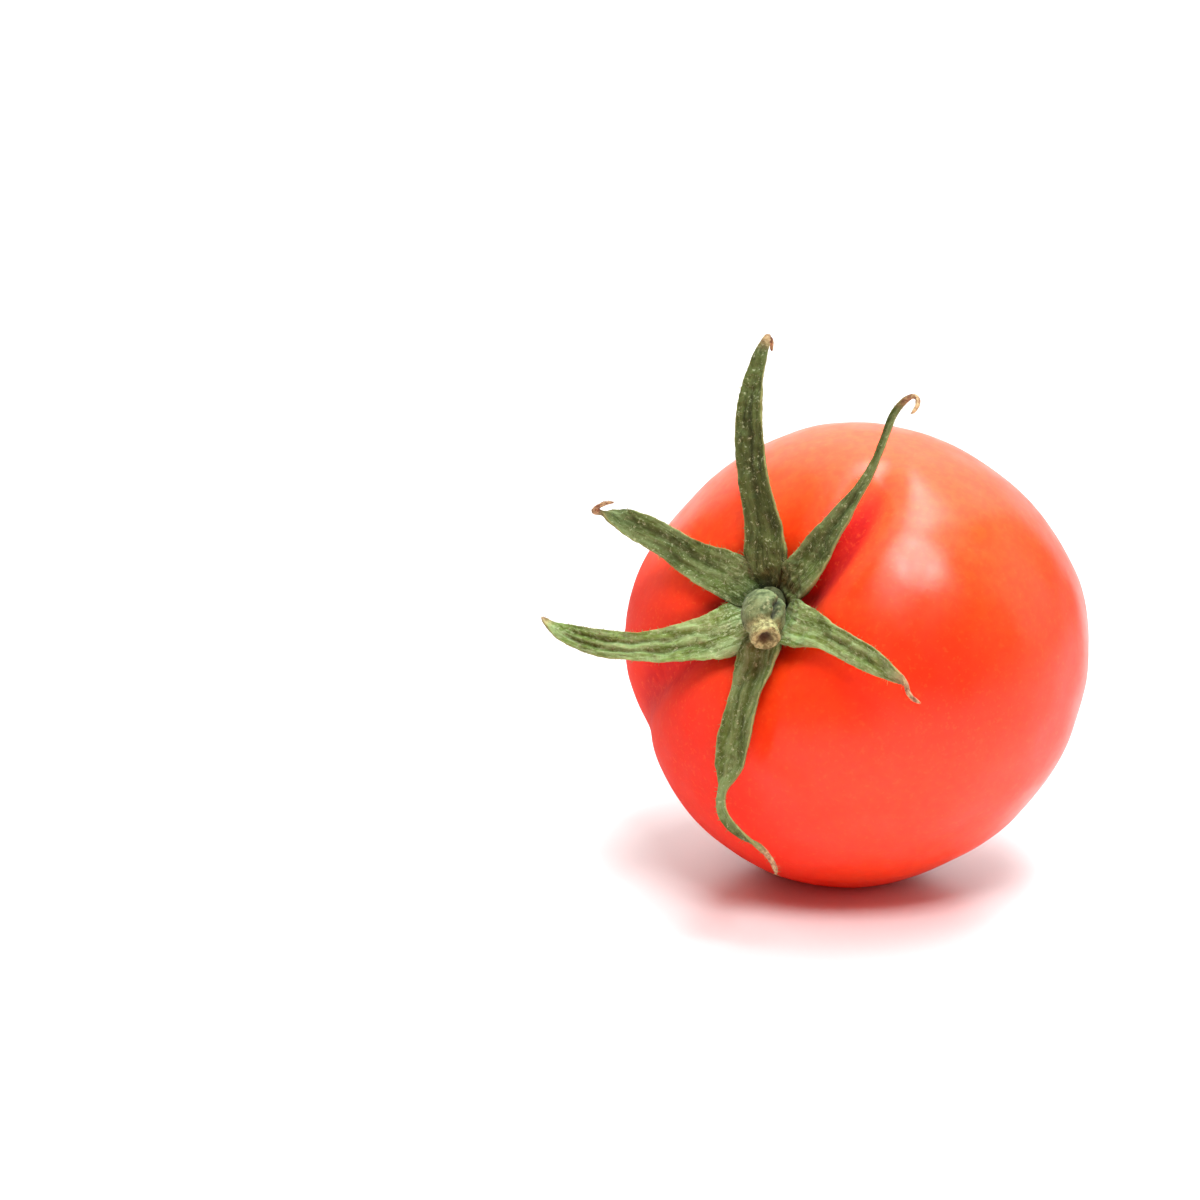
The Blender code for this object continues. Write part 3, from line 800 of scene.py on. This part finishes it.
def make_receptacle(paint):
    """The lumpy button that the sepals and the stalk grow from, closed underneath."""
    rings, count = BUTTON_RINGS, BUTTON_SEGMENTS
    crown = ROOT_HEIGHT - BUTTON_SUNK
    points, recess_shades = [Vector((0.0, 0.0, crown))], [0.0]
    faces = []
    outline = []
    for i in range(1, rings + 1):
        share = i / rings
        outline.append((share * RECEPTACLE_RADIUS, crown - BUTTON_ROUNDING * share ** 4))
    low = floor_height(RECEPTACLE_RADIUS) + BUTTON_CLEARANCE
    top = outline[-1][1]
    for i in range(1, SIDE_RINGS + 1):
        outline.append((RECEPTACLE_RADIUS, top + (low - top) * i / SIDE_RINGS))
    for i in range(1, UNDER_RINGS):
        radius = RECEPTACLE_RADIUS * (1.0 - i / UNDER_RINGS)
        outline.append((radius, floor_height(radius) + BUTTON_CLEARANCE))
    for number, (radius, height) in enumerate(outline):
        for k in range(count):
            turn = 2.0 * math.pi * k / count
            point = Vector((radius * math.cos(turn), radius * math.sin(turn), height))
            if number < rings + LUMPY_SIDE_RINGS:
                point.z += 0.16 * MM * rough(point, 0.9 * MM, 11.0)
                point.z += 0.12 * MM * math.cos(12.0 * turn) * (radius / RECEPTACLE_RADIUS) ** 2
            points.append(point)
            # painted shade: the button's top, down in the hollow under the sepals, is half darkened
            recess_shades.append(0.5 if number < rings else 0.0)
    faces += cap_faces(1, 0, count)
    for ring in range(len(outline) - 1):
        faces += ring_faces(1 + ring * count, 1 + (ring + 1) * count, count, flip=True)
    points.append(Vector((0.0, 0.0, floor_height(0.0) + BUTTON_CLEARANCE)))
    recess_shades.append(0.0)
    faces += cap_faces(1 + (len(outline) - 1) * count, len(points) - 1, count, flip=True)
    return mesh_object("receptacle_button", points, faces, paint,
                       {"dry": [0.0] * len(points), "recess_shade": recess_shades})


# Middle line of the stalk (mm from the middle of its base, in the fruit's frame), the
# radius there (mm), and how dry it is
STALK_COURSE = (
    (0.0, 0.0, -2.2, 1.7, 0.0),
    (0.2, -0.3, -0.2, 2.0, 0.0),
    (1.1, -1.0, 1.2, 2.55, 0.0),
    (2.3, -1.9, 2.2, 3.1, 0.0),
    (3.3, -2.9, 3.0, 3.2, 0.0),
    (4.1, -4.0, 3.6, 2.75, 0.0),
    (4.7, -4.8, 4.0, 1.95, 0.85),
    (5.2, -5.4, 4.3, 2.1, 1.0),
    (5.8, -6.0, 4.65, 2.15, 1.0),
)

# The stalk's end, over the rim, down the face and into the pit: radius as a share of the
# stalk's, distance along it past the last point (mm), and how dry it is
STALK_END = (
    (0.97, 0.16, 1.0), (0.90, 0.28, 1.0), (0.80, 0.30, 1.0), (0.68, 0.14, 1.0),
    (0.56, -0.05, 1.0), (0.46, -0.22, 0.95), (0.36, -0.46, 0.9),
    (0.25, -0.72, 0.85), (0.14, -0.86, 0.8), (0.06, -0.92, 0.8),
)
FACE_RADIUS = 2.25 * MM              # the stalk's radius that the face's relief is drawn for
STALK_ROWS, STALK_SEGMENTS = 90, 64

# The split down the knuckle: which side it is on, its half width and depth, how far its lips
# stand out, and where it starts and ends (share of the stalk's length)
SPLIT_SIDE = Vector((0.90, 0.06, 0.40))
SPLIT_WIDTH = 0.40 * MM
SPLIT_DEPTH = 1.0 * MM
SPLIT_LIP = 0.22 * MM
SPLIT_START, SPLIT_END = 0.24, 0.74


def course_at(share):
    """Catmull-Rom curve through the stalk's course."""
    span = share * (len(STALK_COURSE) - 1)
    i = min(int(span), len(STALK_COURSE) - 2)
    t = span - i
    last = len(STALK_COURSE) - 1
    a, b, c, d = (np.array(STALK_COURSE[min(max(k, 0), last)]) for k in range(i - 1, i + 3))
    return 0.5 * (2 * b + (c - a) * t + (2 * a - 5 * b + 4 * c - d) * t * t
                  + (3 * b - 3 * c + d - a) * t ** 3)


def make_stalk(paint):
    """The bent stub: a swollen knuckle, a crease, and a dry fibrous end with a pit."""
    rows, count = STALK_ROWS, STALK_SEGMENTS
    base = Vector((0.0, 0.0, ROOT_HEIGHT + RECEPTACLE_RISE + STALK_GAP))
    samples = [course_at(i / rows) for i in range(rows + 1)]
    middles = [base + Vector(sample[:3]) * MM for sample in samples]
    points, dries, recess_shades = [], [], []
    aside = Vector((0.8, 0.55, 0.0)).normalized()
    rings = []
    for i, (middle, sample) in enumerate(zip(middles, samples)):
        ahead = middles[min(i + 1, rows)] - middles[max(i - 1, 0)]
        tangent = ahead.normalized()
        aside = (aside - tangent * aside.dot(tangent)).normalized()
        share = i / rows
        split = fade((share - SPLIT_START) / 0.10) * fade((SPLIT_END - share) / 0.12)
        rings.append((middle, tangent, aside, tangent.cross(aside), sample[3] * MM,
                      min(sample[4], 1.0), split))
    middle, tangent, aside, other, radius = rings[-1][:5]
    for out, along, dry in STALK_END:
        rings.append((middle + tangent * along * MM, tangent, aside, other, radius * out, dry, 0.0))
    for number, (middle, tangent, aside, other, radius, dry, split) in enumerate(rings):
        on_face = number > rows
        # painted shade round the stalk's foot
        painted_base_shade = 0.9 * (1.0 - fade((number / rows - 0.10) / 0.16))
        side = (SPLIT_SIDE - tangent * SPLIT_SIDE.dot(tangent)).normalized()
        for k in range(count):
            turn = 2.0 * math.pi * k / count
            out = aside * math.cos(turn) + other * math.sin(turn)
            place = middle + out * radius
            wrinkle = 0.05 * MM * math.cos(9.0 * turn + 2.0 * rough(place, 2.5 * MM, 1.0))
            uneven = 0.22 * MM * rough(place, 2.2 * MM, 5.0)
            uneven += 0.07 * MM * rough(place, 0.6 * MM, 6.0)
            fibres = 0.05 * MM * rough(place, 0.4 * MM, 7.0)
            from_split = radius * math.atan2(tangent.cross(side).dot(out), side.dot(out))
            from_split += 0.9 * MM * rough(middle, 2.6 * MM, 14.0)
            gape = split * math.exp(-(from_split / SPLIT_WIDTH) ** 2)
            lips = split * math.exp(-((abs(from_split) - 2.4 * SPLIT_WIDTH) / SPLIT_WIDTH) ** 2)
            if on_face:
                shift = (uneven + wrinkle) * radius / FACE_RADIUS
                rim = 0.30 * MM * rough(out * 0.9 * MM, 1.1 * MM, 21.0)
                rim *= fade((radius / MM - 0.9) / 0.7)
                point = place + out * shift + tangent * (2.5 * fibres + rim)
                # painted shade in the pit of the dry end
                recess_shade = fade((0.62 - radius / FACE_RADIUS) / 0.42)
            else:
                point = place + out * (uneven + wrinkle + fibres
                                       - SPLIT_DEPTH * gape + SPLIT_LIP * lips)
                # painted shade in the split and round the stalk's foot
                recess_shade = max(0.95 * fade(gape * 1.6), painted_base_shade)
            points.append(point)
            dries.append(dry)
            recess_shades.append(recess_shade)
    faces = []
    for ring in range(len(rings) - 1):
        faces += ring_faces(ring * count, (ring + 1) * count, count)
    for ring, flip in ((0, True), (len(rings) - 1, False)):
        points.append(sum((points[ring * count + i] for i in range(count)), Vector()) / count)
        dries.append(dries[ring * count])
        recess_shades.append(recess_shades[ring * count])
        faces += cap_faces(ring * count, len(points) - 1, count, flip)
    return mesh_object("stalk_stub", points, faces, paint, {"dry": dries, "recess_shade": recess_shades})


# ---------------------------------------------------------------- placing and building
TURNED = Euler((math.radians(LEAN), 0.0, math.radians(TURN))).to_matrix()
skin_points, skin_faces, skin_values = fruit_shape()
turned_points = np.array([TURNED @ point for point in skin_points])
cad_low, cad_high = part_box("fruit")
own_low, own_high = Vector(turned_points.min(0)), Vector(turned_points.max(0))
CENTRE = 0.5 * (cad_low + cad_high - own_low - own_high)
CENTRE.z = cad_low.z - own_low.z
PLACE = Matrix.Translation(CENTRE) @ TURNED.to_4x4()

fruit = mesh_object("fruit_skin", skin_points, skin_faces, skin_paint(), skin_values)
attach(fruit, "root")
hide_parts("fruit")

leaf = sepal_paint()
order = sorted(SEPALS, key=lambda name: SEPALS[name][0])
for i, name in enumerate(order):
    azimuth, stations = SEPALS[name]
    before = SEPALS[order[i - 1]][0] - (360 if i == 0 else 0)
    after = SEPALS[order[(i + 1) % len(order)]][0] + (360 if i == len(order) - 1 else 0)
    edges = (0.5 * (before + azimuth), 0.5 * (azimuth + after))
    sepal = make_sepal(name, azimuth, stations, edges, leaf, 20 + i)
    sepal.name = name + "_leaf"
    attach(sepal, "root")
    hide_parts(name)

button = make_receptacle(stalk_paint("receptacle_flesh"))
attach(button, "root")
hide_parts("receptacle")

stub = make_stalk(stalk_paint())
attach(stub, "root")
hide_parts("stalk")

# ---------------------------------------------------------------- floor, lights and camera
floor_paint = Paint("pale_floor")
floor_paint.set(colour=(0.76, 0.76, 0.77), roughness=0.30, specular=1.0, ior=1.6)
bpy.ops.mesh.primitive_plane_add(size=30.0, location=(0.0, 0.0, cad_low.z))
floor = bpy.context.object
floor.name = "floor"
floor.data.materials.append(floor_paint.made)


def panel(name, direction, distance, width, height, radiance, colour=(1.0, 1.0, 1.0)):
    """A soft rectangular light that faces the fruit and isn't seen itself."""
    lamp = bpy.data.lights.new(name, "AREA")
    lamp.shape = "RECTANGLE"
    lamp.size, lamp.size_y = width, height
    lamp.energy = radiance * math.pi * width * height
    lamp.color = colour
    made = bpy.data.objects.new(name, lamp)
    bpy.context.scene.collection.objects.link(made)
    towards = Vector(direction).normalized()
    made.location = CENTRE + towards * distance
    made.rotation_euler = (-towards).to_track_quat("-Z", "Y").to_euler()
    made.visible_camera = False


panel("softbox_front", (0.13, -0.42, 0.88), 1.0, 0.49, 0.31, 20.6)
panel("softbox_top", (0.14, -0.09, 0.98), 1.0, 0.52, 0.22, 11.0)
panel("softbox_back", (0.18, 0.24, 0.94), 1.0, 0.44, 0.34, 11.0)
panel("softbox_high_left", (-0.62, 0.10, 0.78), 1.1, 0.55, 0.55, 2.2, (1.0, 0.50, 0.38))
panel("panel_above", (0.10, 0.50, 0.86), 1.4, 1.8, 1.3, 1.6)
panel("panel_behind", (0.0, 1.0, 0.35), 1.6, 2.6, 1.4, 1.2)
panel("panel_left", (-1.0, -0.10, 0.45), 1.2, 0.8, 0.8, 0.6, (1.0, 0.30, 0.18))
panel("panel_right", (1.0, 0.15, 0.40), 1.2, 0.8, 0.8, 1.2)
# an aid to the match: a red lamp low in front that makes the shadow as red as the photo's
panel("low_bounce", (0.10, -1.0, 0.02), 0.36, 0.24, 0.05, 13.0, (1.0, 0.03, 0.02))

world = bpy.data.worlds.new("studio")
world.use_nodes = True
background = world.node_tree.nodes["Background"].inputs
background["Color"].default_value = (1.0, 1.0, 1.0, 1.0)
background["Strength"].default_value = 0.14
bpy.context.scene.world = world
bpy.context.scene.view_settings.view_transform = "Standard"

LOOK_DOWN = math.radians(17.0)
CAMERA_DISTANCE = 0.750
CAMERA_LEFT, CAMERA_UP = 0.0386, 0.0081   # off the line to the fruit's centre
SENSOR_MM, LENS_MM = 36.0, 149.8
forward = Vector((0.0, math.cos(LOOK_DOWN), -math.sin(LOOK_DOWN)))
right = Vector((1.0, 0.0, 0.0))
up = right.cross(forward)
lens = bpy.data.cameras.new("camera")
lens.sensor_width, lens.lens = SENSOR_MM, LENS_MM
camera = bpy.data.objects.new("camera", lens)
stand = CENTRE - CAMERA_DISTANCE * forward - CAMERA_LEFT * right + CAMERA_UP * up
facing = Matrix((right, up, -forward)).transposed().to_4x4()
camera.matrix_world = Matrix.Translation(stand) @ facing
bpy.context.scene.collection.objects.link(camera)
bpy.context.scene.camera = camera

bpy.context.view_layer.update()
